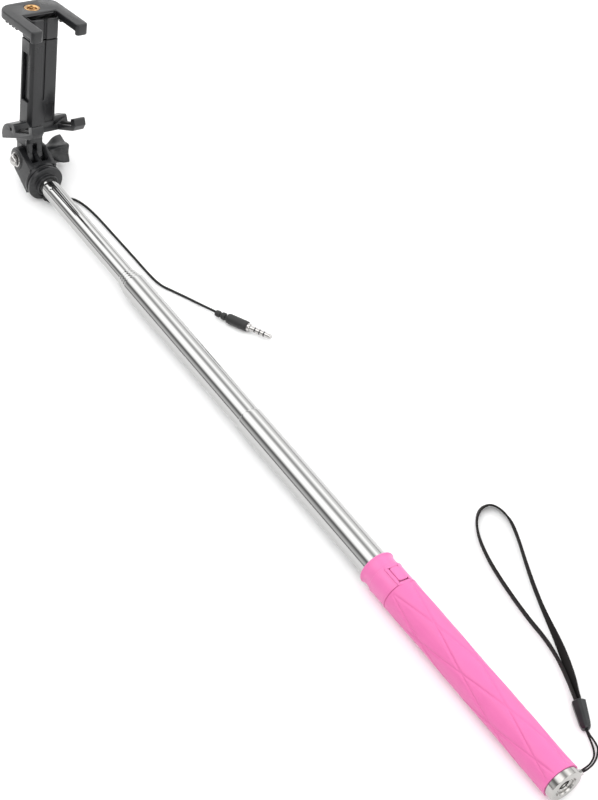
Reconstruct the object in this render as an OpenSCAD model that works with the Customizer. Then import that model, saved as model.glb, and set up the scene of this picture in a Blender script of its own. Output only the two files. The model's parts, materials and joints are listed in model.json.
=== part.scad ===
// Telescopic selfie stick with a spring phone clamp, a wired shutter button and a wrist strap.
// The stick is drawn along +X with the clamp at the low end, the bolt of the tilt joint along Y
// and the clamp standing up. The module lie() then lays the whole object on the plane z = 0.

/* [Handle] */
// Length of the soft grip between the front collar and the end cap
grip_len = 139.2; // [125:0.1:145]
// Outer radius of the grip
grip_r = 11.2; // [11:0.1:11.6]
// Distance from the flared rim back to the middle of the shutter button
button_back = 16.5; // [15.5:0.5:16.5]

/* [Telescopic tubes] */
// Length of each tube
tube_len = 150; // [146:1:152]
// Bare length of tube 6, the widest one
tube_6_show = 129; // [120:0.5:130]
// Bare length of tube 5
tube_5_show = 131.5; // [120:0.5:132]
// Bare length of the thinnest tube
top_show = 97; // [70:1:110]

/* [Phone clamp] */
// Width of the upper jaw
jaw_w = 40.2; // [38:0.2:44]
// Clear width between the two prongs of the upper jaw
notch_w = 24; // [23:0.5:26]
// Lean of the clamp away from the handle
clamp_tilt = 10.5; // [0:0.5:20]
// Upward slope of the lower jaw
lower_slope = 20.5; // [16:0.5:21]

/* [Tilt joint] */
// Radius over the lobes of the star knob
knob_r = 10.6; // [10:0.1:12]
// Radius of the round flange behind the tilt joint
flange_r = 12.3; // [12:0.1:14]

/* [Hidden] */
$fn = 64;
over = 1; // how far a cutter runs past the face it opens

// Tubes: tube 1 is the thinnest and carries the head
wall = 0.3;
top_r = 6.15;
radius_step = 0.54;
lip_len = 2.5;
running_gap = 0.06;
bush_len = 8;
bush_tail = 2;
socket_x = -9; // start of tube 1, deep in its socket
function tube_r(i) = top_r + (i - 1) * radius_step;
tube_2_x = top_show;
tube_5_x = tube_2_x + 3 * lip_len;
tube_6_x = tube_5_x + tube_5_show;
rim_x = tube_6_x + tube_6_show;
starts = [socket_x, tube_2_x, tube_2_x + lip_len, tube_2_x + 2 * lip_len, tube_5_x, tube_6_x];
function tube_x(i) = starts[i - 1];

// Handle
core_r = 9.9;
core_bore = 9.05;
rim_r = 11.3;
neck_r = 10.4;
rim_len = 1.2;
band_x = rim_x + 8.5; // start of the band that holds the button
collar_end = rim_x + 23;
grip_x = collar_end + 0.4;
grip_end = grip_x + grip_len;
front_bush_len = 6;
cap_r = 10.4;
cap_len = 4.6;
cap_plug = 6.4;
core_end = grip_end - 0.4;
thread_r = 3.175; // quarter inch photo thread
insert_r = 5;
button_x = rim_x + button_back;
button_len = 9.5;
button_w = 6;
button_low = 10.05;
button_top = 12;
board_low = 9.25;
board_thick = 0.4;
dome_r = 2.6;

// Tilt joint
flange_x = -11;
flange_back = -5;
groove_depth = 1;
hub_r = 7.6;
hub_end = -2.5;
pivot_x = -27.6;
pivot_v = 6;
ear_r = 8;
ear_in = 5.9; // inner faces of the two outer ears
ear_out = 10; // outer faces of the two outer ears
middle_ear = 2.8;
root_x = -15.6; // where the slots between the ears end
tab_thick = 4;
tab_gap = 0.2;
bolt_r = 2.5;
bolt_hole_r = 2.6;
nut_base = 10.6;
nut_side = 2.8;
nut_hex_r = 4.62;
nut_dome_r = 3.7;
washer_r = 5.5;
washer_thick = 0.5;
knob_low = 14.5;
knob_end = 25;
knob_hub_r = 5.6;
knob_lobes = 5;
knob_phase = 70;
flute_r = 5;

// Clamp, measured from the bolt: x to the handle, z up the column
column_back = 1.5;
column_front = 13;
column_half = 10.1;
column_low = 23.4;
seam_z = 87;
groove_low = 46;
groove_deep = 1.2;
groove_half = 0.9;
window_low = 45; // slot in the left wall of the column
window_high = 78;
recess_low = 30; // shallow recess in the front face, beside the groove
recess_high = 43;
recess_deep = 1.2;
cover_half = 8.6;
cover_low = 33;
cover_high = 83;
cover_thick = 1.3;
cover_screws_z = [37, 79];
screw_r = 0.9;
foot_half = 6;
foot_back = -8.6;
foot_front = 4.8;
foot_top = 22;
plate_top = 102.8;
plate_thick = 5.4;
leg_top = 101.4;
cavity_low = 27;
cavity_half = 8.3;
cavity_back = 3.3;
cavity_front = 11.3;
leg_half = 8;
leg_back = 3.6;
leg_front = 11;
leg_low = 42;
spring_x = 7.3;
spring_y = 4.2;
spring_r = 2.2;
spring_low = 28.2;
spring_high = 82;
pin_r = 1.2;
pin_z = spring_low - pin_r;
plate_back = -15;
plate_front = 31;
notch_back = 4.7;
corner_r = 10;
hook_len = 3.2;
hook_drop = 7.8;
socket_p = -4.3; // middle of the threaded insert
lower_half = 19.6;
lower_prong = 8.2;
lower_at = [7, 25.5]; // where the slope of the lower jaw is set out from
lower_notch = 6.4;
lower_tip = 29.3;
pad_r = 1.6;
pad_seat = -0.7; // lowered top of the prongs, under the pads

// Stance: the flange, one lobe of the knob and the end of the grip touch the ground
pitch = atan((flange_r - grip_r) / (grip_end - flange_back));
height = flange_r * cos(pitch) + flange_back * sin(pitch);
knob_reach = knob_r - pivot_v;
roll = asin(flange_r / norm([knob_end, knob_reach])) - atan(knob_reach / knob_end);
shift_x = -235.67;
shift_y = -20.65;

// Free cords, as they lie on the ground
cable_r = 0.8;
cable_route = [
    [-4, -3.2, 2.6], [0, -3.2, 2.6], [1.7, -2.6, 2.4], [2.6, -0.6, 1.8], [2.9, 2.2, 1.2],
    [3.4, 5.8, 0.9], [5.2, 9.2, 0.8], [8.8, 12, 0.8], [14.5, 13.9, 0.8], [22.6, 15.2, 0.8],
    [34, 15.9, 0.8], [46.5, 16.1, 0.8], [60, 16.3, 0.8], [74.5, 16.5, 0.8], [89, 16.6, 0.8],
    [99.4, 17, 0.8], [107, 18.2, 0.8], [113.2, 20.6, 0.8], [120, 23.4, 0.8], [127.5, 26.4, 0.9],
    [134.8, 28.9, 1.4], [140.8, 30.6, 2.4], [145.6, 32, 3.2], [149.5, 33.2, 3.3]
];
plug_at = [148.2, 32.4, 3.3];
plug_turn = 23.9;
strap_r = 0.55;
cord_a_route = [
    [530.4, 10, 11.2], [530.5, 12.5, 11.2], [530.2, 15.8, 9.9], [528.4, 20.9, 6.4], [525.7, 25.7, 3.2],
    [523, 29, 1.7], [520.2, 31.4, 1.2], [516, 32.3, 1.6], [511.4, 32.4, 2.7], [506, 34.2, 3.5]
];
cord_b_route = [
    [529.3, 10, 11.2], [529.3, 12.4, 11.1], [528.8, 15.6, 9.6], [527, 20.6, 6], [524.1, 25.4, 2.8],
    [521.2, 28.1, 1.6], [518, 29.8, 1.3], [514.4, 31, 1.7], [511, 31.9, 2.6], [506, 33.4, 3.5]
];
bead_from = [509.2, 32.6, 3.6];
bead_turn = 155;
bead_len = 17;
bead_r = 3.5;
webbing_half = 2.5;
webbing_thick = 1;
webbing_route = [
    [495.4, 38.1, 3.5], [486.6, 41.3, 2.9], [477.2, 44.6, 2.6], [465.3, 48, 2.5], [452.6, 50, 2.5],
    [438.3, 50.8, 2.5], [423.4, 52.2, 2.5], [408.4, 54.2, 2.5], [393.9, 56.9, 2.5], [380.3, 61, 2.5],
    [370.8, 66, 2.5], [365.2, 71.4, 2.5], [363.3, 76.4, 2.5], [364.6, 80.6, 2.5], [369.2, 83, 2.5],
    [376.2, 83.4, 2.5], [384, 81.8, 2.5], [393.4, 78.4, 2.5], [406, 73, 2.5], [418.6, 67.8, 2.5],
    [432.6, 62.6, 2.5], [444.4, 58.8, 2.5], [455.8, 55.4, 2.5], [464.8, 52.4, 2.5], [473.4, 49.2, 2.5],
    [481.8, 45.9, 2.6], [489, 42.7, 2.9], [496, 39.6, 3.5]
];

// ---- Shared shapes ----

module lie() {
    translate([shift_x, shift_y, height])
        rotate([0, pitch, 0])
            rotate([-roll, 0, 0])
                children();
}

module on_ground() {
    translate([shift_x, shift_y, 0])
        children();
}

module clamp_frame() {
    lie()
        translate([pivot_x, 0, pivot_v])
            rotate([0, -clamp_tilt, 0])
                children();
}

// The slope of the lower jaw, within the clamp's frame
module lower_slant() {
    translate([lower_at[0], 0, lower_at[1]])
        rotate([0, -lower_slope, 0])
            children();
}

// A round bar along the stick
module bar(from, to, r) {
    translate([from, 0, 0])
        rotate([0, 90, 0])
            cylinder(h = to - from, r = r);
}

module ring(from, to, outer, inner) {
    difference() {
        bar(from, to, outer);
        bar(from - over, to + over, inner);
    }
}

// A round bar along Y at a place in the X-Z plane
module cross_bar(x, z, from, to, r) {
    translate([x, from, z])
        rotate([-90, 0, 0])
            cylinder(h = to - from, r = r);
}

// A block given by its low and high corners
module block(low, high) {
    translate(low)
        cube(high - low);
}

// A profile in the X-Z plane, thick along Y
module side_plate(from, to) {
    translate([0, to, 0])
        rotate([90, 0, 0])
            linear_extrude(to - from)
                children();
}

// A cord with an oval section swept along a smooth curve through its route
function unit(v) = v / norm(v);
function curve_point(a, b, c, d, t) =
    0.5 * (2 * b + (c - a) * t + (2 * a - 5 * b + 4 * c - d) * t * t
    + (3 * b - a - 3 * c + d) * t * t * t);
function smooth(route, steps) = let (last = len(route) - 1) concat(
    [for (i = [0 : last - 1]) for (s = [0 : steps - 1])
        curve_point(route[max(i - 1, 0)], route[i], route[i + 1], route[min(i + 2, last)], s / steps)],
    [route[last]]
);
function heading(line, i) = unit(line[min(i + 1, len(line) - 1)] - line[max(i - 1, 0)]);
function section(line, i, half_across, half_up, sides) =
    let (
        ahead = heading(line, i),
        across = unit(cross(ahead, [0, 0, 1])),
        upward = cross(across, ahead)
    )
    [for (k = [0 : sides - 1])
        let (turn = 360 * (k + 0.5) / sides)
        line[i] + across * half_across * cos(turn) + upward * half_up * sin(turn)];

module sweep(line, half_across, half_up, sides = 8) {
    rings = len(line);
    points = [for (i = [0 : rings - 1]) for (p = section(line, i, half_across, half_up, sides)) p];
    skin = [for (i = [0 : rings - 2]) for (k = [0 : sides - 1])
        let (a = i * sides + k, b = i * sides + (k + 1) % sides)
        for (face = [[a, b, b + sides], [a, b + sides, a + sides]]) face];
    first = [[for (k = [0 : sides - 1]) sides - 1 - k]];
    last = [[for (k = [0 : sides - 1]) (rings - 1) * sides + k]];
    polyhedron(points, concat(skin, first, last), convexity = 6);
}

// ---- Telescopic tubes ----

module tube(i) {
    x = tube_x(i);
    r = tube_r(i);
    throat = i == 1 ? r - wall : tube_r(i - 1) + running_gap;
    difference() {
        bar(x, x + tube_len, r);
        bar(x + lip_len, x + tube_len + over, r - wall);
        bar(x - over, x + lip_len + over, throat);
    }
}

// Nylon bush on the tail of a tube, running in the bore of the next one
module bush(i) {
    tail = tube_x(i) + tube_len;
    r = tube_r(i);
    bore = i == 6 ? core_bore : tube_r(i + 1) - wall;
    ring(tail - bush_len, tail, bore - running_gap, r);
    ring(tail, tail + bush_tail, bore - running_gap, r - wall);
}

module top_tube() { color("silver") lie() tube(1); }
module tube_2() { color("silver") lie() tube(2); }
module tube_3() { color("silver") lie() tube(3); }
module tube_4() { color("silver") lie() tube(4); }
module tube_5() { color("silver") lie() tube(5); }
module tube_6() { color("silver") lie() tube(6); }
module top_bush() { color("ivory") lie() bush(1); }
module bush_2() { color("ivory") lie() bush(2); }
module bush_3() { color("ivory") lie() bush(3); }
module bush_4() { color("ivory") lie() bush(4); }
module bush_5() { color("ivory") lie() bush(5); }
module bush_6() { color("ivory") lie() bush(6); }

// ---- Handle ----

module button_pocket(side) {
    block(
        [button_x - button_len / 2 - side, -button_w / 2 - side, board_low],
        [button_x + button_len / 2 + side, button_w / 2 + side, button_top + over]
    );
}

module grip_core() {
    color("dimgray") lie()
        difference() {
            ring(rim_x + front_bush_len, core_end, core_r, core_bore);
            button_pocket(0.25);
        }
}

module front_bush() {
    color("ivory") lie()
        ring(rim_x + 0.3, rim_x + front_bush_len, core_r, tube_r(6) + running_gap);
}

module front_collar() {
    color("hotpink") lie()
        difference() {
            union() {
                bar(rim_x, rim_x + rim_len, rim_r);
                bar(rim_x, collar_end, neck_r);
                bar(band_x, collar_end, rim_r);
            }
            bar(rim_x - over, collar_end + over, core_r);
            button_pocket(0.25);
        }
}

module grip_sleeve() {
    color("hotpink") lie()
        ring(grip_x, grip_end, grip_r, core_r);
}

module end_cap() {
    color("lightgray") lie()
        difference() {
            union() {
                bar(grip_end, grip_end + cap_len, cap_r);
                bar(core_end - cap_plug, grip_end, core_bore);
            }
            bar(core_end - cap_plug - over, grip_end + cap_len + over, insert_r);
        }
}

module cap_thread_insert() {
    color("gray") lie()
        ring(core_end - cap_plug, grip_end + cap_len - 1, insert_r, thread_r);
}

module shutter_button() {
    color("hotpink") lie()
        intersection() {
            block(
                [button_x - button_len / 2, -button_w / 2, button_low],
                [button_x + button_len / 2, button_w / 2, button_top]
            );
            bar(rim_x, collar_end, button_top);
        }
}

module switch_dome() {
    color("silver") lie()
        translate([button_x, 0, board_low + board_thick])
            cylinder(h = 0.35, r = dome_r);
}

module switch_board() {
    color("green") lie()
        block(
            [button_x - button_len / 2, -button_w / 2, board_low],
            [button_x + button_len / 2, button_w / 2, board_low + board_thick]
        );
}

// The lead that runs down inside the tubes to the switch
module inner_lead() {
    color("black") lie()
        bar(socket_x, button_x, 0.9);
}

// ---- Head bracket and tilt joint ----

module neck_outline() {
    polygon([
        [flange_x, 9.5], [pivot_x + 1.5, pivot_v + 7.85],
        [pivot_x - 2.5, pivot_v - 7.6], [flange_x, -9.5]
    ]);
}

module ear_outline() {
    neck_outline();
    translate([pivot_x, pivot_v])
        circle(ear_r);
}

module head_bracket() {
    color("dimgray") lie()
        difference() {
            union() {
                for (y = [[-ear_out, -ear_in], [-middle_ear / 2, middle_ear / 2], [ear_in, ear_out]])
                    side_plate(y[0], y[1])
                        ear_outline();
                side_plate(-ear_out, ear_out)
                    intersection() {
                        neck_outline();
                        translate([root_x, -20])
                            square([20, 40]);
                    }
                bar(flange_x, flange_back, flange_r);
                bar(flange_back - over, hub_end, hub_r);
                cross_bar(pivot_x, pivot_v, -nut_base, -ear_out + over, 6.6);
            }
            bar(socket_x, hub_end + over, top_r);
            ring(flange_x + 2.4, flange_x + 3.6, flange_r + over, flange_r - groove_depth);
            cross_bar(pivot_x, pivot_v, -nut_base - over, ear_out + over, bolt_hole_r);
            translate([flange_x - over, 6.5, 9.4])
                rotate([0, 90, 0])
                    cylinder(h = 3, r = 1.1);
        }
}

module acorn_nut() {
    color("silver") lie()
        difference() {
            translate([pivot_x, -nut_base, pivot_v])
                rotate([90, 0, 0]) {
                    cylinder(h = nut_side, r = nut_hex_r, $fn = 6);
                    cylinder(h = 0.6, r = 4.9);
                    intersection() {
                        translate([0, 0, 1.8])
                            sphere(nut_dome_r);
                        translate([0, 0, nut_side])
                            cylinder(h = 4, r = 5);
                    }
                }
            cross_bar(pivot_x, pivot_v, -nut_base - nut_side, 0, bolt_r + running_gap);
        }
}

module friction_washer() {
    color("gray") lie()
        difference() {
            cross_bar(pivot_x, pivot_v, ear_out, ear_out + washer_thick, washer_r);
            cross_bar(pivot_x, pivot_v, 0, knob_low, bolt_hole_r);
        }
}

module star(depth) {
    linear_extrude(depth)
        difference() {
            circle(knob_r);
            for (k = [0 : knob_lobes - 1])
                rotate((k + 0.5) * 360 / knob_lobes)
                    translate([knob_r + 2.2, 0])
                        circle(flute_r);
        }
}

module thumb_knob() {
    color("dimgray") lie()
        difference() {
            translate([pivot_x, 0, pivot_v])
                rotate([-90, 0, 0])
                    rotate(-knob_phase) {
                        translate([0, 0, ear_out + washer_thick + 0.1])
                            cylinder(h = knob_low - ear_out, r = knob_hub_r);
                        translate([0, 0, knob_low])
                            star(knob_end - knob_low);
                    }
            cross_bar(pivot_x, pivot_v, 0, knob_low + over, bolt_r);
            translate([pivot_x, knob_low + over, pivot_v])
                rotate([-90, 0, 0])
                    cylinder(h = 3.5, r = 4.6, $fn = 6);
            cross_bar(pivot_x, pivot_v, knob_end - 0.7, knob_end + over, 5);
        }
}

module thumb_bolt() {
    color("silver") lie() {
        cross_bar(pivot_x, pivot_v, 0.2 - nut_base - nut_side, knob_low + over, bolt_r);
        translate([pivot_x, knob_low + over, pivot_v])
            rotate([-90, 0, 0])
                cylinder(h = 3.5, r = 4.6, $fn = 6);
    }
}

// ---- Phone clamp: housing ----

module column_outline() {
    polygon([
        [column_back, -column_half], [column_front - 2, -column_half], [column_front, -column_half + 2.6],
        [column_front, column_half - 1.2], [column_front - 1.2, column_half], [column_back, column_half]
    ]);
}

module front_groove(low, high) {
    block([column_front - groove_deep, -groove_half, low], [column_front + over, groove_half, high]);
}

module tab_outline() {
    circle(ear_r - 0.2);
    polygon([[-ear_r + 0.2, 0], [foot_back, 12], [foot_front, 12], [5.4, 5.6]]);
}

// Side view of the lower jaw: a round-backed block, a lowered seat for the pad and a raised tip
module lower_outline() {
    back_arc = [for (turn = [90 : 12 : 162]) [-3.4 + 9.6 * cos(turn), -4.8 + 9.6 * sin(turn)]];
    polygon(concat(
        back_arc,
        [[-12.9, -5.2], [4.5, -4.4], [25.4, -4.2], [lower_tip, -1], [lower_tip, 3.2],
        [lower_tip - 0.8, 3.9], [24.6, 3.6], [24, pad_seat], [6.4, pad_seat], [6, 4], [5, 4.8]]
    ));
}

module lower_jaw() {
    inner = lower_half - lower_prong;
    lower_slant()
        difference() {
            side_plate(-lower_half, lower_half)
                lower_outline();
            block([lower_notch, -inner, -8], [lower_tip + over, inner, 8]);
        }
}

module foot() {
    side_plate(-foot_half, foot_half)
        polygon([
            [foot_back, 9.4], [foot_front - 1.6, 9.4], [foot_front, 11],
            [foot_front, 19], [9, 24], [foot_back + 4, foot_top], [foot_back, 16]
        ]);
}

module clamp_pin() {
    cross_bar(spring_x, pin_z, 1 - lower_half, lower_half - 1, pin_r);
}

module screw_place() {
    for (z = cover_screws_z)
        translate([column_back, 0, z])
            rotate([0, 90, 0])
                children();
}

module clamp_housing() {
    tab_low = middle_ear / 2 + tab_gap;
    color("dimgray") clamp_frame()
        difference() {
            union() {
                translate([0, 0, column_low])
                    linear_extrude(seam_z - column_low)
                        column_outline();
                lower_jaw();
                foot();
                for (y = [-tab_low - tab_thick, tab_low])
                    side_plate(y, y + tab_thick)
                        tab_outline();
            }
            cross_bar(0, 0, -ear_out, ear_out, bolt_hole_r);
            block([cavity_back, -cavity_half, cavity_low], [cavity_front, cavity_half, seam_z + over]);
            block([cavity_back, -column_half - over, window_low],
                [cavity_front, -cavity_half + over, window_high]);
            block([column_front - recess_deep, 2.2, recess_low], [column_front + over, 8.4, recess_high]);
            front_groove(groove_low, seam_z + over);
            cross_bar(spring_x, pin_z, -lower_half - over, lower_half + over, pin_r);
            screw_place()
                translate([0, 0, -over])
                    cylinder(h = 3, r = screw_r);
        }
}

module rear_cover() {
    color("black") clamp_frame()
        difference() {
            block([column_back - cover_thick, -cover_half, cover_low], [column_back, cover_half, cover_high]);
            screw_place()
                translate([0, 0, -3])
                    cylinder(h = 4, r = screw_r);
        }
}

module cover_screws() {
    color("silver") clamp_frame()
        screw_place()
            translate([0, 0, -cover_thick]) {
                cylinder(h = 3, r = screw_r);
                translate([0, 0, -0.8])
                    cylinder(h = 0.8, r = 1.9);
            }
}

module spring_pin() {
    color("silver") clamp_frame()
        clamp_pin();
}

module clamp_springs() {
    color("silver") clamp_frame()
        for (side = [-1, 1])
            translate([spring_x, side * spring_y, spring_low])
                cylinder(h = spring_high - spring_low, r = spring_r);
}

// ---- Phone clamp: sliding upper jaw ----

module plate_outline() {
    half = jaw_w / 2;
    translate([plate_back + corner_r, -half])
        square([plate_front - plate_back - corner_r, jaw_w]);
    translate([plate_back, corner_r - half])
        square([corner_r, jaw_w - 2 * corner_r]);
    for (side = [-1, 1])
        translate([plate_back + corner_r, side * (half - corner_r)])
            circle(corner_r);
}

module upper_jaw() {
    half = jaw_w / 2;
    color("dimgray") clamp_frame()
        difference() {
            union() {
                difference() {
                    union() {
                        translate([0, 0, plate_top - plate_thick])
                            linear_extrude(plate_thick)
                                plate_outline();
                        block([plate_front - hook_len, -half, plate_top - hook_drop],
                            [plate_front, half, plate_top]);
                    }
                    block([notch_back, -notch_w / 2, plate_top - hook_drop - over],
                        [plate_front + over, notch_w / 2, plate_top + over]);
                }
                translate([0, 0, seam_z + 0.3])
                    linear_extrude(leg_top - seam_z - 0.3)
                        column_outline();
                block([leg_back, -leg_half, leg_low], [leg_front, leg_half, leg_top]);
            }
            translate([socket_p, 0, plate_top - plate_thick - over])
                cylinder(h = plate_thick + 2 * over, r = insert_r);
            block([notch_back + 0.6, -7.6, leg_top - 9], [leg_front - 0.6, 7.6, leg_top + 2]);
            for (side = [-1, 1])
                translate([spring_x, side * spring_y, leg_low - over])
                    cylinder(h = spring_high - leg_low + over, r = spring_r + 0.3);
            front_groove(seam_z, leg_top + over);
        }
}

module tripod_insert() {
    color("goldenrod") clamp_frame()
        translate([socket_p, 0, plate_top - plate_thick])
            difference() {
                cylinder(h = plate_thick, r = insert_r);
                translate([0, 0, -over])
                    cylinder(h = plate_thick + 2 * over, r = thread_r);
            }
}

module upper_pads() {
    half = jaw_w / 2;
    color("black") clamp_frame()
        for (side = [-1, 1])
            for (x = [-4, 0, 4, 8])
                block([x, side * (half - 4.2) - 3.4, plate_top - plate_thick - 1.2],
                    [x + 2.2, side * (half - 4.2) + 3.4, plate_top - plate_thick]);
}

// ---- Pads of the lower jaw ----

module lower_pads() {
    middle = lower_half - lower_prong / 2;
    color("black") clamp_frame()
        lower_slant()
            for (side = [-1, 1])
                difference() {
                    translate([0, side * middle, pad_seat])
                        bar(7.2, 23.2, pad_r);
                    block([0, side * middle - 3, pad_seat - 3], [30, side * middle + 3, pad_seat]);
                }
}

// ---- Shutter cable and plug ----

module cable_grommet() {
    color("black") lie()
        translate([flange_back, 0, -10.2])
            rotate([0, 90, 0]) {
                cylinder(h = 5, r = 2.3);
                translate([0, 0, 5])
                    cylinder(h = 1.5, r = 1.6);
            }
}

module audio_cable() {
    color("black") on_ground()
        sweep(smooth(cable_route, 2), cable_r, cable_r);
}

module plug_part(from, to, r) {
    on_ground()
        translate(plug_at)
            rotate([0, 0, plug_turn])
                bar(from, to, r);
}

module plug_relief() {
    color("black") {
        plug_part(0, 4, 2);
        plug_part(4, 9, 2.6);
    }
}

module plug_body() { color("black") plug_part(9, 24, 3.25); }

module plug_pin() {
    color("silver") {
        plug_part(24, 25.6, 2.6);
        plug_part(25.6, 39.6, 1.75);
        plug_part(39.6, 41.4, 1.2);
    }
}

// ---- Wrist strap ----

module strap_lug() {
    color("lightgray") lie()
        rotate([roll, 0, 0])
            translate([grip_end + 2.3, cap_r, 0])
                rotate([0, 0, 90])
                    ring(-0.8, 1.4, 1.9, 1);
}

module strap_cord_a() {
    color("black") on_ground()
        sweep(cord_a_route, strap_r, strap_r);
}

module strap_cord_b() {
    color("black") on_ground()
        sweep(cord_b_route, strap_r, strap_r);
}

module strap_bead() {
    color("black") on_ground()
        translate(bead_from)
            rotate([0, 0, bead_turn])
                bar(0, bead_len, bead_r);
}

module strap_webbing() {
    color("black") on_ground()
        sweep(webbing_route, webbing_thick / 2, webbing_half);
}

top_tube();
tube_2();
tube_3();
tube_4();
tube_5();
tube_6();
top_bush();
bush_2();
bush_3();
bush_4();
bush_5();
bush_6();
head_bracket();
acorn_nut();
friction_washer();
thumb_knob();
thumb_bolt();
clamp_housing();
rear_cover();
cover_screws();
spring_pin();
clamp_springs();
upper_jaw();
tripod_insert();
upper_pads();
lower_pads();
grip_core();
front_bush();
front_collar();
grip_sleeve();
end_cap();
cap_thread_insert();
shutter_button();
switch_dome();
switch_board();
inner_lead();
cable_grommet();
audio_cable();
plug_relief();
plug_body();
plug_pin();
strap_lug();
strap_cord_a();
strap_cord_b();
strap_bead();
strap_webbing();
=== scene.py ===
"""Looks of a telescopic selfie stick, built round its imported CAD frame.

Three frames are used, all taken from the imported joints: STICK has x along the stick, y along the
bolt of the tilt joint; CLAMP has its origin at the bolt and z up the column; GROUND is the plane
that the stick lies on. Sizes are in millimetres and become metres when a mesh is finished.
"""

import json
import math

import bmesh
import bpy
from mathutils import Matrix, Vector


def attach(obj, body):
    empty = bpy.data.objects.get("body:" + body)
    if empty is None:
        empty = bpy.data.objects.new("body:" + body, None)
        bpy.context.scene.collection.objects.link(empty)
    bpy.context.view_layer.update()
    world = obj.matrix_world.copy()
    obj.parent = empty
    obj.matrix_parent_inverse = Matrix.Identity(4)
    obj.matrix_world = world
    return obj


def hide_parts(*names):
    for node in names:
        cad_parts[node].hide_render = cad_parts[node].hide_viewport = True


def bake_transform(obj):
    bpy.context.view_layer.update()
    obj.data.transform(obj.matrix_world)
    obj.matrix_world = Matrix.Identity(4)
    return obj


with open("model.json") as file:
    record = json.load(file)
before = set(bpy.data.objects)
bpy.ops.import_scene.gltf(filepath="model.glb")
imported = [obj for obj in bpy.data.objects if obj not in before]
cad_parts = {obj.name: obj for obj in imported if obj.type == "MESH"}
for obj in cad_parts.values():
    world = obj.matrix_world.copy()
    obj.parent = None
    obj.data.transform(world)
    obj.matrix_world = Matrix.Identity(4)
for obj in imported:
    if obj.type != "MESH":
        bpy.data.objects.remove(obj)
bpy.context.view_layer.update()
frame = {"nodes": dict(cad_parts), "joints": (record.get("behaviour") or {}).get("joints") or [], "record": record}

MM = 0.001
WELD = 1e-4  # points closer than this, in a mesh's own unit, become one
CAD_WELD = 1e-6
NODES = frame["nodes"]
JOINTS = {joint["name"]: joint for joint in frame["joints"]}
SLOT_OF = {part["node"]: part["material_slot"] for part in frame["record"]["subparts"]}
BODY_OF = {
    node: body
    for body, members in frame["record"]["behaviour"]["bodies"].items()
    for node in members
}


# ---- Frames ----


def rigid(x, y, z, origin):
    return Matrix.Translation(origin) @ Matrix((x, y, z)).transposed().to_4x4()


BOLT = Vector(JOINTS["clamp_tilt"]["pos_m"])
ALONG = Vector(JOINTS["tube_6_slide"]["axis"])
ACROSS = Vector(JOINTS["clamp_tilt"]["axis"])
COLUMN = Vector(JOINTS["upper_jaw_slide"]["axis"])
BOLT_IN_STICK = Vector((-27.6, 0, 6)) * MM

STICK = rigid(ALONG, ACROSS, ALONG.cross(ACROSS), (0, 0, 0))
STICK.translation = BOLT - STICK.to_3x3() @ BOLT_IN_STICK
CLAMP = rigid(ACROSS.cross(COLUMN), ACROSS, COLUMN, BOLT)
GROUND = Matrix.Translation((STICK.translation.x, STICK.translation.y, 0))


def turned(place, at, degrees=0, axis="Y"):
    """A frame moved to a point, in millimetres, and turned there."""
    return place @ Matrix.Translation(Vector(at) * MM) @ Matrix.Rotation(math.radians(degrees), 4, axis)


# ---- Camera ----

CAMERA_AT = (0.6518, -0.36417, 0.966)
CAMERA_RIGHT = Vector((0.56277, 0.82469, -0.05634)).normalized()
CAMERA_BACK = Vector((0.53275, -0.30974, 0.78755)).normalized()

camera = bpy.data.objects.new("camera", bpy.data.cameras.new("camera"))
camera.data.lens = 91.8
camera.data.sensor_width = 36
camera.data.clip_start = 0.01
camera.matrix_world = rigid(CAMERA_RIGHT, CAMERA_BACK.cross(CAMERA_RIGHT), CAMERA_BACK, CAMERA_AT)
bpy.context.scene.collection.objects.link(camera)
bpy.context.scene.camera = camera


# ---- Materials: one for each slot of the record ----


def node(tree, kind, inputs=None, **settings):
    """A shader node; an input given as a socket is linked and any other is set."""
    made = tree.nodes.new(kind)
    for name, value in settings.items():
        setattr(made, name, value)
    for name, value in (inputs or {}).items():
        if isinstance(value, bpy.types.NodeSocket):
            tree.links.new(value, made.inputs[name])
        else:
            made.inputs[name].default_value = value
    return made


def place_of(tree, stretch=(1, 1, 1)):
    where = node(tree, "ShaderNodeTexCoord").outputs["Object"]
    return node(tree, "ShaderNodeMapping", {"Vector": where, "Scale": stretch}).outputs[0]


def noise(tree, scale, stretch=(1, 1, 1), detail=3.0):
    settings = {"Vector": place_of(tree, stretch), "Scale": scale, "Detail": detail}
    return node(tree, "ShaderNodeTexNoise", settings).outputs["Fac"]


def between(tree, share, low, high, start=0.3, end=0.7):
    limits = {"Value": share, "From Min": start, "From Max": end, "To Min": low, "To Max": high}
    return node(tree, "ShaderNodeMapRange", limits).outputs[0]


def mixed(tree, share, dark, light):
    made = node(tree, "ShaderNodeMix", data_type="RGBA")
    tree.links.new(share, made.inputs["Factor"])
    made.inputs[6].default_value = (*dark, 1)
    made.inputs[7].default_value = (*light, 1)
    return made.outputs[2]


def material(name, dark, light, roughness, grain, grain_depth, stretch=(1, 1, 1), **fixed):
    """A surface whose colour and roughness drift and whose grain is a fine bump.

    grain is in cells per metre and grain_depth in millimetres; fixed holds the shader's own sockets.
    """
    made = bpy.data.materials.new(name)
    made.use_nodes = True
    tree = made.node_tree
    shader = tree.nodes["Principled BSDF"]
    drift = noise(tree, grain / 12, stretch)
    fine = noise(tree, grain, stretch, 2.0)
    tree.links.new(mixed(tree, drift, dark, light), shader.inputs["Base Color"])
    tree.links.new(between(tree, drift, *roughness), shader.inputs["Roughness"])
    bump = node(tree, "ShaderNodeBump", {"Height": fine, "Strength": 0.6, "Distance": grain_depth * MM})
    tree.links.new(bump.outputs[0], shader.inputs["Normal"])
    for socket, value in fixed.items():
        shader.inputs[socket.replace("_", " ")].default_value = value
    return made


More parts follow.
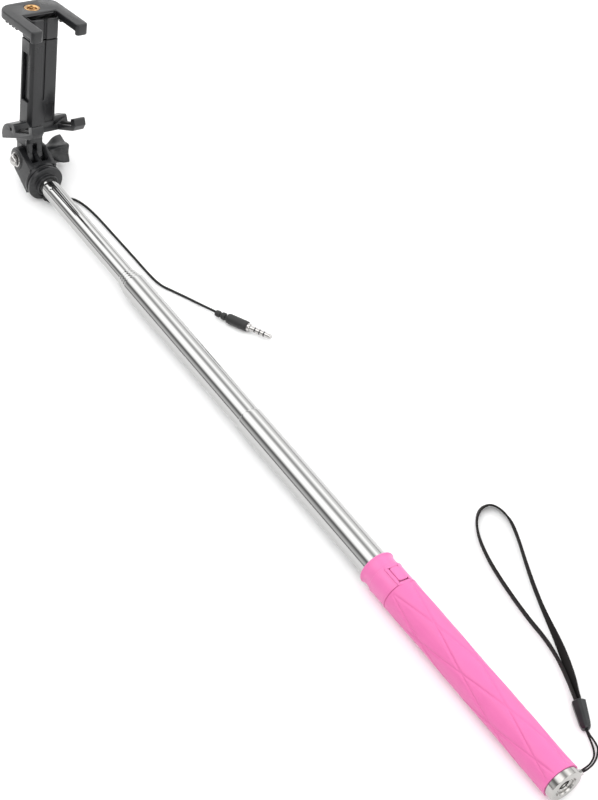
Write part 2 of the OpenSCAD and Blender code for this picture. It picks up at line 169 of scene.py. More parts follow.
DRAWN = (0.03, 1, 1)  # grain drawn out along the stick
LOOKS = {
    "polished_tube": material(
        "polished_tube", (0.44, 0.44, 0.435), (0.50, 0.50, 0.495), (0.05, 0.09), 1400, 0.0006, DRAWN,
        Metallic=1.0),
    "nylon": material("nylon", (0.72, 0.70, 0.62), (0.80, 0.78, 0.70), (0.42, 0.52), 900, 0.01),
    "black_plastic": material(
        "black_plastic", (0.006, 0.0063, 0.007), (0.011, 0.0115, 0.013), (0.27, 0.38), 1900, 0.008,
        Specular_IOR_Level=0.55),
    "black_rubber": material(
        "black_rubber", (0.012, 0.012, 0.012), (0.02, 0.02, 0.02), (0.5, 0.62), 1500, 0.01),
    "pink_silicone": material(
        "pink_silicone", (0.66, 0.128, 0.345), (0.71, 0.145, 0.375), (0.46, 0.56), 1300, 0.01,
        Sheen_Weight=0.05),
    "pink_plastic": material(
        "pink_plastic", (0.68, 0.145, 0.37), (0.73, 0.165, 0.40), (0.36, 0.44), 1700, 0.006),
    "bright_steel": material(
        "bright_steel", (0.44, 0.43, 0.42), (0.54, 0.53, 0.52), (0.08, 0.15), 900, 0.0015, Metallic=1.0),
    "spring_steel": material(
        "spring_steel", (0.40, 0.40, 0.40), (0.50, 0.50, 0.50), (0.2, 0.3), 1200, 0.002, Metallic=1.0),
    "brass": material(
        "brass", (0.50, 0.29, 0.12), (0.62, 0.38, 0.17), (0.16, 0.26), 900, 0.002, Metallic=1.0),
    "cap_metal": material(
        "cap_metal", (0.40, 0.39, 0.375), (0.48, 0.47, 0.455), (0.10, 0.17), 700, 0.0012, Metallic=1.0),
    "circuit_board": material(
        "circuit_board", (0.01, 0.10, 0.03), (0.02, 0.16, 0.05), (0.25, 0.35), 900, 0.01),
    "grey_plastic": material(
        "grey_plastic", (0.03, 0.03, 0.032), (0.045, 0.045, 0.048), (0.45, 0.55), 1500, 0.01),
    "cable_jacket": material(
        "cable_jacket", (0.006, 0.006, 0.006), (0.012, 0.012, 0.012), (0.4, 0.52), 1600, 0.006,
        Specular_IOR_Level=0.3),
    "plug_metal": material(
        "plug_metal", (0.50, 0.49, 0.48), (0.58, 0.57, 0.56), (0.08, 0.14), 900, 0.001, Metallic=1.0),
    "strap_fabric": material(
        "strap_fabric", (0.006, 0.005, 0.005), (0.016, 0.014, 0.014), (0.75, 0.9), 2600, 0.06,
        Specular_IOR_Level=0.25),
}

for name, part in NODES.items():
    part.data.materials.clear()
    part.data.materials.append(LOOKS[SLOT_OF[name]])


# ---- Building pieces ----


def piece(name, shape, place, stands_for, body=None, sharp=35, slot=None):
    """Finishes a bmesh in millimetres into a piece that stands for CAD nodes and rides with them."""
    bmesh.ops.recalc_face_normals(shape, faces=shape.faces)
    shape.transform(Matrix.Scale(MM, 4))
    mesh = bpy.data.meshes.new(name)
    shape.to_mesh(mesh)
    shape.free()
    mesh.shade_smooth()
    mesh.set_sharp_from_angle(angle=math.radians(sharp))
    return rides(bpy.data.objects.new(name, mesh), place, stands_for, body, slot)


def rides(made, place, stands_for, body=None, slot=None):
    bpy.context.scene.collection.objects.link(made)
    made.data.transform(place)
    slot = slot or SLOT_OF[stands_for[0]]
    made.data.materials.append(LOOKS[slot])
    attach(made, body or BODY_OF[stands_for[0]])
    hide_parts(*stands_for)
    return made


def loft(rings, closed_ends=True, around=False):
    """Skins rings of points; around joins the last ring to the first."""
    shape = bmesh.new()
    rows = [[shape.verts.new(point) for point in ring] for ring in rings]
    count = len(rows[0])
    following = rows[1:] + rows[:1] if around else rows[1:]
    for one, two in zip(rows, following):
        for k in range(count):
            shape.faces.new((one[k], one[(k + 1) % count], two[(k + 1) % count], two[k]))
    if closed_ends and not around:
        shape.faces.new(rows[0])
        shape.faces.new(rows[-1])
    return shape


def lathe(profile, sides=96, relief=None):
    """Turns a closed outline of (x, radius) points about the x axis; relief lowers the surface."""
    rings = []
    for x, radius in profile:
        ring = []
        for k in range(sides):
            turn = 2 * math.pi * k / sides
            r = radius - (relief(x, turn) if relief else 0)
            ring.append((x, r * math.cos(turn), r * math.sin(turn)))
        rings.append(ring)
    shape = loft(rings, around=True)
    bmesh.ops.remove_doubles(shape, verts=shape.verts, dist=WELD)
    return shape


def rounded(x, radius, size, quarter, steps=4):
    """Points of a quarter round whose centre is (x, radius); quarter 0 is towards +x and outwards."""
    turns = [math.radians(90 * (quarter + k / steps)) for k in range(steps + 1)]
    return [(x + size * math.cos(turn), radius + size * math.sin(turn)) for turn in turns]


def swept(route, radius, sides=8):
    """A round wire along a route of points, in millimetres."""
    line = [Vector(point) for point in route]
    side = Vector((0, 0, 1))
    rings = []
    for k, point in enumerate(line):
        ahead = (line[min(k + 1, len(line) - 1)] - line[max(k - 1, 0)]).normalized()
        side = (side - ahead * side.dot(ahead)).normalized()
        other = ahead.cross(side)
        turns = [2 * math.pi * n / sides for n in range(sides)]
        rings.append([point + (side * math.cos(t) + other * math.sin(t)) * radius for t in turns])
    return loft(rings)


FLAT_ANGLE = math.radians(1)
EDGE_ANGLE = math.radians(32)
EDGE_STEPS = 3
TIP_R = 2.2
TIP_STEPS = 6
TIP_SHORTEST = 2


def softened(name, width, place=STICK, blunt=None):
    """A copy of a CAD node with one face for each flat and rounded edges.

    blunt is the least x, in millimetres, of upright edges that are rounded more.
    """
    shape = bmesh.new()
    shape.from_mesh(NODES[name].data)
    bmesh.ops.remove_doubles(shape, verts=shape.verts, dist=CAD_WELD)
    bmesh.ops.dissolve_limit(shape, angle_limit=FLAT_ANGLE, verts=shape.verts, edges=shape.edges)
    shape.transform(place.inverted())
    shape.transform(Matrix.Scale(1 / MM, 4))
    if blunt:
        upright = [
            edge for edge in shape.edges
            if all(v.co.x > blunt for v in edge.verts)
            and abs(edge.verts[0].co.z - edge.verts[1].co.z) > 0.9 * edge.calc_length() > TIP_SHORTEST
        ]
        bmesh.ops.bevel(
            shape, geom=upright, offset=TIP_R, segments=TIP_STEPS, profile=0.5, affect="EDGES")
    made = piece(name + "_shown", shape, place, [name], sharp=180)
    bevel = made.modifiers.new("edges", "BEVEL")
    bevel.width = width * MM
    bevel.segments = EDGE_STEPS
    bevel.limit_method = "ANGLE"
    bevel.angle_limit = EDGE_ANGLE
    bevel.use_clamp_overlap = False
    bevel.harden_normals = True


def smooth(route, steps):
    """Catmull-Rom points along a route."""
    line = [Vector(point) for point in route]
    last = len(line) - 1
    points = []
    for i in range(last):
        a, b, c, d = line[max(i - 1, 0)], line[i], line[i + 1], line[min(i + 2, last)]
        for s in range(steps):
            t = s / steps
            points.append(
                0.5 * (2 * b + (c - a) * t + (2 * a - 5 * b + 4 * c - d) * t * t
                       + (3 * b - a - 3 * c + d) * t ** 3)
            )
    return points + [line[-1]]


def curve_cord(name, route, radius, stands_for):
    """A round cord as a curve with a bevel."""
    data = bpy.data.curves.new(name, "CURVE")
    data.dimensions = "3D"
    data.bevel_depth = radius * MM
    data.bevel_resolution = 4
    data.use_fill_caps = True
    spline = data.splines.new("POLY")
    spline.points.add(len(route) - 1)
    for point, at in zip(spline.points, route):
        point.co = (*(Vector(at) * MM), 1)
    return rides(bpy.data.objects.new(name, data), GROUND, stands_for)


# ---- Cords: the routes of the CAD solids, in millimetres ----

CABLE_R = 0.8
CABLE_ROUTE = (
    (-4, -3.2, 2.6), (0, -3.2, 2.6), (1.7, -2.6, 2.4), (2.6, -0.6, 1.8), (2.9, 2.2, 1.2),
    (3.4, 5.8, 0.9), (5.2, 9.2, 0.8), (8.8, 12, 0.8), (14.5, 13.9, 0.8), (22.6, 15.2, 0.8),
    (34, 15.9, 0.8), (46.5, 16.1, 0.8), (60, 16.3, 0.8), (74.5, 16.5, 0.8), (89, 16.6, 0.8),
    (99.4, 17, 0.8), (107, 18.2, 0.8), (113.2, 20.6, 0.8), (120, 23.4, 0.8), (127.5, 26.4, 0.9),
    (134.8, 28.9, 1.4), (140.8, 30.6, 2.4), (145.6, 32, 3.2), (149.5, 33.2, 3.3),
)
PLUG_AT = (148.2, 32.4, 3.3)
PLUG_TURN = 23.9
STRAP_R = 0.55
CORD_A_ROUTE = (
    (530.4, 10, 11.2), (530.5, 12.5, 11.2), (530.2, 15.8, 9.9), (528.4, 20.9, 6.4), (525.7, 25.7, 3.2),
    (523, 29, 1.7), (520.2, 31.4, 1.2), (516, 32.3, 1.6), (511.4, 32.4, 2.7), (506, 34.2, 3.5),
)
CORD_B_ROUTE = (
    (529.3, 10, 11.2), (529.3, 12.4, 11.1), (528.8, 15.6, 9.6), (527, 20.6, 6), (524.1, 25.4, 2.8),
    (521.2, 28.1, 1.6), (518, 29.8, 1.3), (514.4, 31, 1.7), (511, 31.9, 2.6), (506, 33.4, 3.5),
)
BEAD_FROM = (509.2, 32.6, 3.6)
BEAD_TURN = 155
BEAD_LEN = 17
WEBBING_HALF = 2.5
WEBBING_THICK = 1
WEBBING_ROUTE = (
    (495.4, 38.1, 3.5), (486.6, 41.3, 2.9), (477.2, 44.6, 2.6), (465.3, 48, 2.5), (452.6, 50, 2.5),
    (438.3, 50.8, 2.5), (423.4, 52.2, 2.5), (408.4, 54.2, 2.5), (393.9, 56.9, 2.5), (380.3, 61, 2.5),
    (370.8, 66, 2.5), (365.2, 71.4, 2.5), (363.3, 76.4, 2.5), (364.6, 80.6, 2.5), (369.2, 83, 2.5),
    (376.2, 83.4, 2.5), (384, 81.8, 2.5), (393.4, 78.4, 2.5), (406, 73, 2.5), (418.6, 67.8, 2.5),
    (432.6, 62.6, 2.5), (444.4, 58.8, 2.5), (455.8, 55.4, 2.5), (464.8, 52.4, 2.5), (473.4, 49.2, 2.5),
    (481.8, 45.9, 2.6), (489, 42.7, 2.9), (496, 39.6, 3.5),
)


plug_frame = turned(GROUND, PLUG_AT, PLUG_TURN, "Z")
PIN_START = 24
PIN_R = 1.75
BANDS = (29, 32.4, 35.6)  # where the pin's black insulating bands begin
BAND_WIDE = 0.8

# outlines of the plug's parts, from the lead to the tip:
# the strain relief has two round bulges on the lead, with a thin neck before the plug's body
RELIEF = (
    (0, 0), (0, 1.1), (0.2, 1.7), (0.8, 2.05), (2.6, 2.15), (3.3, 1.9), (3.6, 1.35), (4.1, 1.3),
    (4.5, 1.9), (5.2, 2.35), (6.8, 2.4), (7.4, 2.1), (7.7, 1.5), (8.3, 1.45), (9, 1.7), (9, 0),
)
relief = piece("plug_relief_ribbed", lathe(RELIEF, 48), plug_frame, ["plug_relief"])
body_outline = (
    [(9, 0), (9, 2.7), (9.5, 3.05), (11, 3.25), (21.5, 3.25)]
    + rounded(23, 2.35, 0.9, 0)[::-1] + [(PIN_START, 0)]
)
plug_body = piece("plug_body_moulded", lathe(body_outline, 64), plug_frame, ["plug_body"])
pin_outline = (
    [(PIN_START, 0), (PIN_START, 2.6), (25.2, 2.6), (25.6, 2.3), (25.6, PIN_R)]
    + [(edge, PIN_R) for band in BANDS for edge in (band, band + BAND_WIDE)]
    + [(38, 1.5), (39.4, 1.72), (40.2, 1.6), (41, 0.9), (41.4, 0.3), (41.4, 0)]
)
plug_pin = piece("plug_pin_turned", lathe(pin_outline, 48), plug_frame, ["plug_pin"])
plug_pin.data.materials.append(LOOKS["black_plastic"])
to_plug = plug_frame.inverted()
for face in plug_pin.data.polygons:
    at = (to_plug @ face.center).x / MM
    if any(band < at < band + BAND_WIDE for band in BANDS):
        face.material_index = 1

cable = curve_cord("audio_cable_lead", smooth(CABLE_ROUTE, 4), CABLE_R, ["audio_cable"])


def bead_section(x, half_wide, half_high):
    """A flat-sided section with a raised middle, for the bead that joins strap and cords."""
    outline = (
        (-half_wide, -0.5), (-0.8 * half_wide, -1), (0.8 * half_wide, -1), (half_wide, -0.5),
        (half_wide, 0.4), (0.25 * half_wide, 1), (-0.25 * half_wide, 1), (-half_wide, 0.4),
    )
    return [(x, y, z * half_high) for y, z in outline]


bead = piece(
    "strap_bead_moulded",
    loft([
        bead_section(0, 1.9, 1.9), bead_section(0.8, 2.6, 2.5), bead_section(3, 3, 2.8),
        bead_section(BEAD_LEN - 1.5, 3.7, 3.3), bead_section(BEAD_LEN - 0.4, 3.75, 3.3),
        bead_section(BEAD_LEN, 3.4, 3),
    ]),
    turned(GROUND, BEAD_FROM, BEAD_TURN, "Z"), ["strap_bead"], sharp=25,
)
for side, route in (("a", CORD_A_ROUTE), ("b", CORD_B_ROUTE)):
    strand = "strap_cord_" + side
    strap_cord = curve_cord(strand + "_twist", smooth(route, 4), STRAP_R, [strand])


# how far the band leans from standing on edge, in degrees, at shares of its length
WEBBING_LEAN = ((0, 0), (0.35, 0), (0.45, 38), (0.53, 30), (0.6, 0), (0.74, -8), (0.88, -50), (1, -10))


def lean_at(share):
    for (a, low), (b, high) in zip(WEBBING_LEAN, WEBBING_LEAN[1:]):
        if share <= b:
            t = (share - a) / (b - a)
            return math.radians(low + (high - low) * t * t * (3 - 2 * t))
    return math.radians(WEBBING_LEAN[-1][1])


# the band's section in shares of its thickness and half width: rounded selvedges and a proud middle
WEBBING_SECTION = (
    (-0.5, -0.86), (-0.3, -1), (0.3, -1), (0.5, -0.86), (0.62, 0), (0.5, 0.86), (0.3, 1),
    (-0.3, 1), (-0.5, 0.86), (-0.62, 0),
)


def ribbon(route):
    """The woven band on edge along a route, leaning as WEBBING_LEAN says."""
    line = [Vector(point) for point in route]
    rings = []
    for k, point in enumerate(line):
        ahead = (line[min(k + 1, len(line) - 1)] - line[max(k - 1, 0)]).normalized()
        across = ahead.cross(Vector((0, 0, 1))).normalized()
        tilt = Matrix.Rotation(lean_at(k / (len(line) - 1)), 3, ahead)
        across, upward = tilt @ across, tilt @ across.cross(ahead)
        across, upward = across * WEBBING_THICK, upward * WEBBING_HALF
        rings.append([point + across * a + upward * b for a, b in WEBBING_SECTION])
    return loft(rings)


webbing_line = smooth(WEBBING_ROUTE, 6)
webbing = piece("strap_webbing_woven", ribbon(webbing_line), GROUND, ["strap_webbing"])


# ---- Telescopic tubes ----

TOP_R = 6.15
RADIUS_STEP = 0.54
WALL = 0.3
TUBE_LEN = 150
LIP = 2.5  # the length of each tube's rolled mouth
GAP = 0.06
TOP_SHOW = 97
TUBE_5_X = TOP_SHOW + 3 * LIP
TUBE_6_X = TUBE_5_X + 131.5
RIM_X = TUBE_6_X + 129
STARTS = (-9, TOP_SHOW, TOP_SHOW + LIP, TOP_SHOW + 2 * LIP, TUBE_5_X, TUBE_6_X)
TUBE_NODES = ("top_tube", "tube_2", "tube_3", "tube_4", "tube_5", "tube_6")


def drawn_tube(x, r, throat):
    """Outline of a tube whose mouth is rolled in over the next thinner one."""
    edge = min(0.9, (r - throat) * 1.4)
    return (
        [(x + TUBE_LEN, r - WALL), (x + TUBE_LEN, r), (x + LIP + 0.4, r), (x + LIP * 0.55, r - 0.02)]
        + [(x + edge * 0.5, r - edge * 0.12), (x + edge * 0.18, r - edge * 0.3), (x, r - edge * 0.62)]
        + [(x, throat), (x + LIP, throat), (x + LIP, r - WALL)]
    )


CRIMPS = ((0, -38), (6, -38))  # two punched dents that hold the thinnest tube in the head: x, degrees
CRIMP_R = 0.8
CRIMP_DEEP = 0.25
CRIMP_RINGS = [9 - 0.3 * k for k in range(45)]  # close rings of points round the dents


def crimped(x, turn):
    """The dents' depth; turn is measured from the tube's +y side."""
    depth = 0
    for at, degrees in CRIMPS:
        round_way = (turn - math.radians(90 - degrees) + math.pi) % (2 * math.pi) - math.pi
        away = math.hypot(x - at, round_way * TOP_R) / CRIMP_R
        depth += CRIMP_DEEP * math.exp(-away * away) if away < 3 else 0
    return depth


for number, (name, start) in enumerate(zip(TUBE_NODES, STARTS)):
    outer = TOP_R + number * RADIUS_STEP
    throat = outer - WALL if number == 0 else outer - RADIUS_STEP + GAP
    outline = drawn_tube(start, outer, throat)
    if number == 0:
        outline[2:3] = [(x, outer) for x in CRIMP_RINGS]
        turned_tube = lathe(outline, 192, crimped)
    else:
        turned_tube = lathe(outline, 128)
    piece(name + "_drawn", turned_tube, STICK, [name])


# ---- Handle ----

GRIP_R = 11.2
CORE_R = 9.9
COLLAR_END = RIM_X + 23
GRIP_X = COLLAR_END + 0.4
GRIP_END = GRIP_X + 139.2
CREASES = 5
CREASE_TWIST = 0.02  # radians for each millimetre of grip
FLAT_DEPTH = 0.3
CREASE_DEPTH = 0.62
CREASE_HALF = 0.6
CREASE_GAP = 2 * math.pi * GRIP_R / CREASES
CREASE_FADE = 6  # the creases fade in over this length at both ends
GRIP_STEPS = 140


def zigzag(value):
    """1 on a crease and 0 halfway between two."""
    return 2 * abs(value - math.floor(value) - 0.5)


def crossed_creases(x, turn):
    """The grip's shallow flats, between two families of long crossing creases."""
    lean = CREASE_TWIST * (x - GRIP_X)
    ridge = max(zigzag(CREASES * (turn - way * lean) / (2 * math.pi)) for way in (-1, 1))
    crease = math.exp(-(((1 - ridge) * CREASE_GAP / 2 / CREASE_HALF) ** 2))
    fade = min(1, (x - GRIP_X) / CREASE_FADE, (GRIP_END - x) / CREASE_FADE)
    return (FLAT_DEPTH * (1 - ridge) + CREASE_DEPTH * crease) * max(0, fade)


grip_outline = [
    (GRIP_X + (GRIP_END - GRIP_X) * k / GRIP_STEPS, GRIP_R) for k in range(GRIP_STEPS + 1)
]
grip_bore = [(GRIP_END, CORE_R), (GRIP_X, CORE_R)]
grip = lathe(grip_outline + grip_bore, 240, crossed_creases)
piece("grip_sleeve_moulded", grip, STICK, ["grip_sleeve"], sharp=80)

BAND_X = RIM_X + 8.5
NECK_R = 10.4
RIM_R = 11.3
BAND_R = 11
BUTTON_X = RIM_X + 16.5
BUTTON_HALF = (4.9, 3.15)  # half length and half width
POCKET_HALF = (5.5, 4)  # half length and half width of the opening under the button
POCKET_DEEP = 1
POCKET_RINGS = [BUTTON_X + 5.6 - 0.4 * k for k in range(28)]
# the collar's outline runs from the grip to its front rim, with a narrower neck behind the rim
collar_outline = (
    [(COLLAR_END, CORE_R), (COLLAR_END, 10.7)] + rounded(COLLAR_END - 0.6, RIM_R - 0.5, 0.5, 0)
    + [(COLLAR_END - 0.9, RIM_R), (COLLAR_END - 1.1, BAND_R)]
    + [(x, BAND_R) for x in POCKET_RINGS] + [(BAND_X + 2, BAND_R)]
    + rounded(BAND_X + 0.5, RIM_R - 0.5, 0.5, 1)
    + [(BAND_X - 0.2, NECK_R + 0.15), (BAND_X - 1, NECK_R)]
    + [(RIM_X + 3, NECK_R), (RIM_X + 1.8, NECK_R + 0.3)]
    + rounded(RIM_X + 0.6, RIM_R - 0.6, 0.6, 0)[1:] + rounded(RIM_X + 0.6, RIM_R - 0.6, 0.6, 1)[1:]
    + [(RIM_X, CORE_R)]
)


def pocket(x, turn):
    """The depth of the button's opening; turn is measured from the collar's +y side."""
    round_way = (turn - math.pi / 2) * RIM_R
    inside = abs(x - BUTTON_X) < POCKET_HALF[0] and abs(round_way) < POCKET_HALF[1]
    return POCKET_DEEP if inside else 0


piece(
    "front_collar_moulded", lathe(collar_outline, 256, pocket), STICK, ["front_collar"], sharp=40)


PAD_CORNER = 1.4
CORNER_STEPS = 5


def saddle(half_long, half_wide, low, high, hole=None):
    """A raised pad bent over the collar, with round corners.

    low and high are radii; hole, if given, is how much smaller than the pad an opening in it is.
    """

    def loop(grow, radius):
        points = []
        for quarter in range(4):
            cx = (half_long - PAD_CORNER) * (1 if quarter in (0, 3) else -1)
            cy = (half_wide - PAD_CORNER) * (1 if quarter in (0, 1) else -1)
            for k in range(CORNER_STEPS + 1):
                turn = math.radians(90 * (quarter + k / CORNER_STEPS))
                x = cx + (PAD_CORNER + grow) * math.cos(turn)
                y = cy + (PAD_CORNER + grow) * math.sin(turn)
                angle = y / radius
                points.append((BUTTON_X + x, radius * math.sin(angle), radius * math.cos(angle)))
        return points

    rings = [loop(0, low), loop(0, high - 0.3), loop(-0.12, high - 0.08), loop(-0.4, high)]
    if hole:
        rings += [loop(hole, high - 0.02), loop(hole - 0.1, low)]
    return loft(rings, around=bool(hole))


PAD_HALF = (7.2, 5.2)
PAD_HOLE = -1.75
PAD_FOOT = 10.9
PAD_TOP = 11.7
BUTTON_FOOT = 11.2
BUTTON_TOP = 12.1
piece(
    "button_surround_moulded", saddle(*PAD_HALF, PAD_FOOT, PAD_TOP, hole=PAD_HOLE), STICK,
    ["front_collar"], sharp=30)
piece(
    "shutter_button_moulded", saddle(*BUTTON_HALF, BUTTON_FOOT, BUTTON_TOP), STICK,
    ["shutter_button"], sharp=30)

CAP_LEN = 4.6
CAP_R = 10.4
CAP_EDGE = 0.7
SPIGOT_R = 9.05  # the part of the cap inside the grip
SPIGOT_LEN = 6.8
RECESS = 0.9
INSERT_R = 5
CAP_END = GRIP_END + CAP_LEN
cap_outline = (
    rounded(CAP_END - CAP_EDGE, CAP_R - CAP_EDGE, CAP_EDGE, 0)
    + [(GRIP_END + 0.3, CAP_R), (GRIP_END, CAP_R - 0.3), (GRIP_END, SPIGOT_R)]
    + [(GRIP_END - SPIGOT_LEN, SPIGOT_R), (GRIP_END - SPIGOT_LEN, INSERT_R)]
    + [(CAP_END - RECESS, INSERT_R), (CAP_END - RECESS, 6.2), (CAP_END, 6.6)]
)
piece("end_cap_turned", lathe(cap_outline, 128), STICK, ["end_cap"], sharp=30)

THREAD_R = 3.175
THREAD_PITCH = 1.27
THREAD_DEEP = 0.2


def threaded(start, end, outer):
    """Outline of a threaded insert with a chamfered mouth."""
    points = [(start, outer), (end - 0.2, outer), (end, outer - 0.3), (end, THREAD_R + 0.7)]
    turns = int((end - start - 0.8) / THREAD_PITCH)
    for k in range(turns):
        x = end - 0.6 - k * THREAD_PITCH
        points += [(x, THREAD_R), (x - THREAD_PITCH / 2, THREAD_R + THREAD_DEEP)]
    return points + [(start, THREAD_R)]


piece(
    "cap_thread_turned", lathe(threaded(GRIP_END - SPIGOT_LEN, CAP_END - 1, INSERT_R), 64), STICK,
    ["cap_thread_insert"], sharp=30)

# the lead inside: a straight run in the thinnest tube, a coiled slack in the widest
LEAD_R = 0.8
LEAD_ROUTE = ((-8.5, 0, 0), (30, 0, 0.4), (80, 0, -0.4), (138, 0, 0))
COIL_R = 4.5
COIL_TURNS = 14
COIL_PITCH = 3.2
COIL_POINTS = 16  # points in one turn
coil_route = []
for k in range(COIL_POINTS * COIL_TURNS):
    turn = 2 * math.pi * k / COIL_POINTS
    x = TUBE_6_X + 20 + COIL_PITCH * k / COIL_POINTS
    coil_route.append((x, COIL_R * math.cos(turn), COIL_R * math.sin(turn)))
piece("lead_coil", swept(coil_route, LEAD_R), STICK, ["inner_lead"], body="tube_6")
piece("lead_front", swept(LEAD_ROUTE, LEAD_R), STICK, ["inner_lead"])


# ---- Head, knob and clamp: the largest are copies of the CAD with rounded edges ----

# outline of the lead's gland, from inside the flange outwards
GROMMET = ((-2.2, 0), (-2.2, 1.1), (-1.9, 1.8), (-1.1, 2.15), (0.3, 2.2), (1.3, 1.9), (1.9, 1.3), (2, 0))
piece(
    "cable_grommet_moulded", lathe(GROMMET, 32), turned(STICK, (-2.5, 0, -9.6), 90), ["cable_grommet"])

for name, width in (("head_bracket", 0.45), ("friction_washer", 0.1), ("thumb_bolt", 0.15)):
    softened(name, width)
for name, width in (
    ("clamp_housing", 0.4), ("rear_cover", 0.3), ("upper_pads", 0.35),
    ("lower_pads", 0.3), ("cover_screws", 0.15),
):
    softened(name, width, CLAMP)
softened("upper_jaw", 0.9, CLAMP, blunt=30)

NUT_BASE = 10.6
NUT_SIDE = 2.1
NUT_DOME = 3.3
NUT_TIP = 2.2  # how far the dome stands out
NUT_BORE = 2.55
NUT_FLANGE = 4.95
BOLT_SIDE = turned(STICK, BOLT_IN_STICK / MM, 90, "Z")  # x runs from the nut to the knob
dome_foot = -NUT_BASE - NUT_SIDE
nut_dome = [(-NUT_BASE, NUT_BORE), (-NUT_BASE, NUT_FLANGE), (-NUT_BASE - 0.35, NUT_FLANGE)]
nut_dome += [(-NUT_BASE - 0.6, 4.6), (-NUT_BASE - 0.6, 3.6), (dome_foot, NUT_DOME)]
for k in range(1, 9):
    turn = math.radians(90 * k / 8)
    nut_dome.append((dome_foot - NUT_TIP * math.sin(turn), NUT_DOME * math.cos(turn)))
nut_dome += [(dome_foot - 0.3, 0), (dome_foot - 0.3, NUT_BORE)]
piece("acorn_nut_dome", lathe(nut_dome, 64), BOLT_SIDE, ["acorn_nut"], sharp=30)


def hexagon(x, radius):
    turns = [math.radians(60 * k + 12) for k in range(6)]
    return [(x, radius * math.cos(turn), radius * math.sin(turn)) for turn in turns]


# distance out from the nut's foot, and radius
NUT_FLATS = ((0.55, 4.45), (0.8, 4.62), (1.75, 4.62), (NUT_SIDE, 4.1))
piece(
    "acorn_nut_flats", loft([hexagon(-NUT_BASE - out, radius) for out, radius in NUT_FLATS]), BOLT_SIDE,
    ["acorn_nut"], sharp=25)

KNOB_R = 10.6
KNOB_VALLEY = 7.0
KNOB_LOBES = 5
KNOB_PHASE = 36
KNOB_BLUNT = 0.12  # rounds the tips of the lobes
KNOB_POINTS = 160
# distance along the bolt, size, and depth of the flutes, from the hub to the outer face
KNOB_RINGS = (
    (10.7, 0.50, 0), (13.2, 0.52, 0), (14.6, 0.60, 0.25), (16.4, 0.76, 0.7), (18.4, 0.92, 0.95),
    (20.6, 1.01, 1), (22.4, 1.04, 1), (24.4, 1.05, 1), (24.85, 1.03, 1), (25, 0.98, 1),
    (24.8, 0.85, 0.9), (24.3, 0.62, 0.5), (24.2, 0.3, 0),
)


def star(x, scale, hollow):
    """A ring of the knob's lobed outline; hollow deepens its flutes."""
    points = []
    for k in range(KNOB_POINTS):
        turn = 2 * math.pi * k / KNOB_POINTS
        from_lobe = KNOB_LOBES * (turn - math.radians(KNOB_PHASE)) / (2 * math.pi)
        share = 2 * abs(from_lobe - round(from_lobe))  # 0 on a lobe and 1 in a flute
        lobe = (1 - math.hypot(share, KNOB_BLUNT) / math.hypot(1, KNOB_BLUNT)) ** 2
        r = scale * (KNOB_R - (KNOB_R - KNOB_VALLEY) * (1 - lobe) * hollow)
        points.append((x, r * math.sin(turn), r * math.cos(turn)))
    return points


knob = loft([star(*ring) for ring in KNOB_RINGS])
piece("thumb_knob_moulded", knob, BOLT_SIDE, ["thumb_knob"], sharp=50)

SOCKET_P = -4.3
PLATE_TOP = 102.8
PLATE_THICK = 5.4
piece(
    "tripod_insert_turned", lathe(threaded(0, PLATE_THICK, INSERT_R), 64),
    turned(CLAMP, (SOCKET_P, 0, PLATE_TOP - PLATE_THICK), -90), ["tripod_insert"], sharp=30)

SPRING_AT = (7.3, 4.2)
SPRING_LOW = 28.2
SPRING_HIGH = 82
WIRE_R = 0.28
SPRING_R = 2.2 - WIRE_R
SPRING_TURNS = 44
SPRING_POINTS = 14  # points in one turn


def coil(side):
    """One of the clamp's two springs, in the clamp's frame."""
    count = SPRING_POINTS * SPRING_TURNS
    points = []
    for k in range(count + 1):
        turn = 2 * math.pi * k / SPRING_POINTS
        height = SPRING_LOW + WIRE_R + (SPRING_HIGH - SPRING_LOW - 2 * WIRE_R) * k / count
        across_at = side * SPRING_AT[1] + SPRING_R * math.sin(turn)
        points.append((SPRING_AT[0] + SPRING_R * math.cos(turn), across_at, height))
    return swept(points, WIRE_R, 6)


for side, word in ((-1, "left"), (1, "right")):
    spring = bpy.data.objects.new("clamp_spring_" + word, bpy.data.meshes.new("clamp_spring_" + word))
    wire = coil(side)
    wire.transform(Matrix.Scale(MM, 4))
    wire.transform(CLAMP)
    bmesh.ops.recalc_face_normals(wire, faces=wire.faces)
    wire.to_mesh(spring.data)
    wire.free()
    spring.data.shade_smooth()
    spring.data.materials.append(LOOKS["spring_steel"])
    bpy.context.scene.collection.objects.link(spring)
    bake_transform(spring)
    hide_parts("clamp_springs")


# ---- Floor and light ----

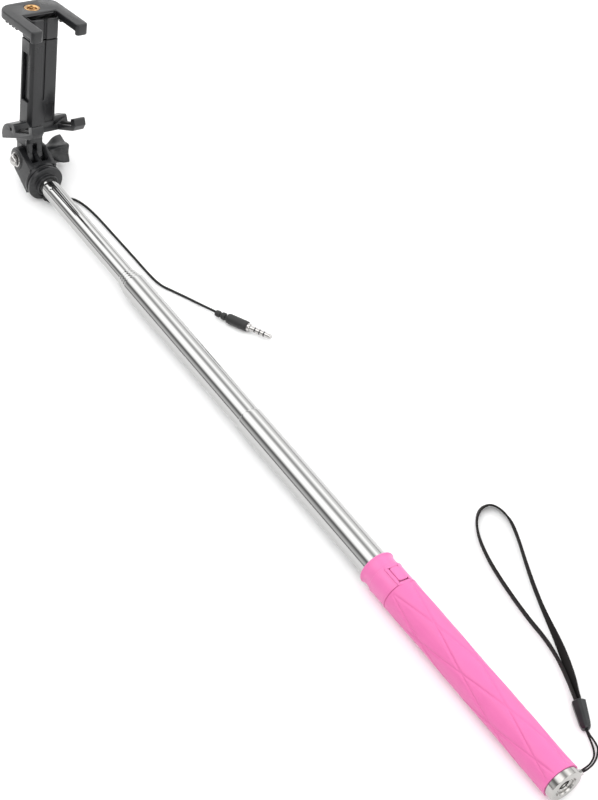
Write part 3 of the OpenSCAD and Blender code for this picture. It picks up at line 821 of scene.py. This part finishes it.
FLOOR_HALF = 40
FLOOR_Z = -0.0001
floor_mesh = bpy.data.meshes.new("floor")
corners = [(x * FLOOR_HALF, y * FLOOR_HALF, FLOOR_Z) for x, y in ((-1, -1), (1, -1), (1, 1), (-1, 1))]
floor_mesh.from_pydata(corners, [], [(0, 1, 2, 3)])
floor = bpy.data.objects.new("floor", floor_mesh)
floor_look = bpy.data.materials.new("floor")
floor_look.use_nodes = True
floor_shader = floor_look.node_tree.nodes["Principled BSDF"]
floor_shader.inputs["Base Color"].default_value = (0.93, 0.93, 0.93, 1)
floor_shader.inputs["Roughness"].default_value = 0.9
floor_shader.inputs["Specular IOR Level"].default_value = 0.1
floor_mesh.materials.append(floor_look)
bpy.context.scene.collection.objects.link(floor)


def softbox(name, at, size, power):
    """A large lamp aimed at the origin, which polished metal doesn't show."""
    lamp = bpy.data.objects.new(name, bpy.data.lights.new(name, "AREA"))
    lamp.data.shape = "RECTANGLE"
    lamp.data.size, lamp.data.size_y = size
    lamp.data.energy = power
    lamp.location = at
    lamp.rotation_euler = (-Vector(at)).to_track_quat("-Z", "Y").to_euler()
    lamp.visible_glossy = False
    bpy.context.scene.collection.objects.link(lamp)


softbox("key", (0.4, 0.7, 1.7), (2.2, 2.0), 5)
softbox("fill", (-0.3, -1.3, 1.4), (1.6, 1.4), 3)

# a dome of long light and dark strips that run along the stick, which the polished tubes show as lines:
# degrees from straight up, towards +y, and brightness
STRIPS = (
    (-90, 0.2), (-74, 0.95), (-48, 0.22), (-25, 2.15), (-6, 2.3), (19, 0.62), (47, 2.15), (68, 1.3),
    (90, 0.7),
)
world = bpy.data.worlds.new("studio")
bpy.context.scene.world = world
world.use_nodes = True
sky = world.node_tree
direction = node(sky, "ShaderNodeTexCoord").outputs["Generated"]
split = node(sky, "ShaderNodeSeparateXYZ", {"Vector": direction})
lean = node(sky, "ShaderNodeMath", operation="ARCTAN2")
sky.links.new(split.outputs["Y"], lean.inputs[0])
sky.links.new(split.outputs["Z"], lean.inputs[1])
share = node(
    sky, "ShaderNodeMapRange",
    {"Value": lean.outputs[0], "From Min": -math.pi, "From Max": math.pi}).outputs[0]
dome = node(sky, "ShaderNodeValToRGB", {"Fac": share})
dome.color_ramp.interpolation = "EASE"
for number, (degrees, value) in enumerate(STRIPS):
    stops = dome.color_ramp.elements
    stop = stops[number] if number < 2 else stops.new(0.5 + degrees / 360)
    stop.position = 0.5 + degrees / 360
    stop.color = (value, value, value, 1)
sky.links.new(dome.outputs[0], sky.nodes["Background"].inputs["Color"])
sky.nodes["Background"].inputs["Strength"].default_value = 1.0

bpy.context.scene.view_settings.view_transform = "Standard"
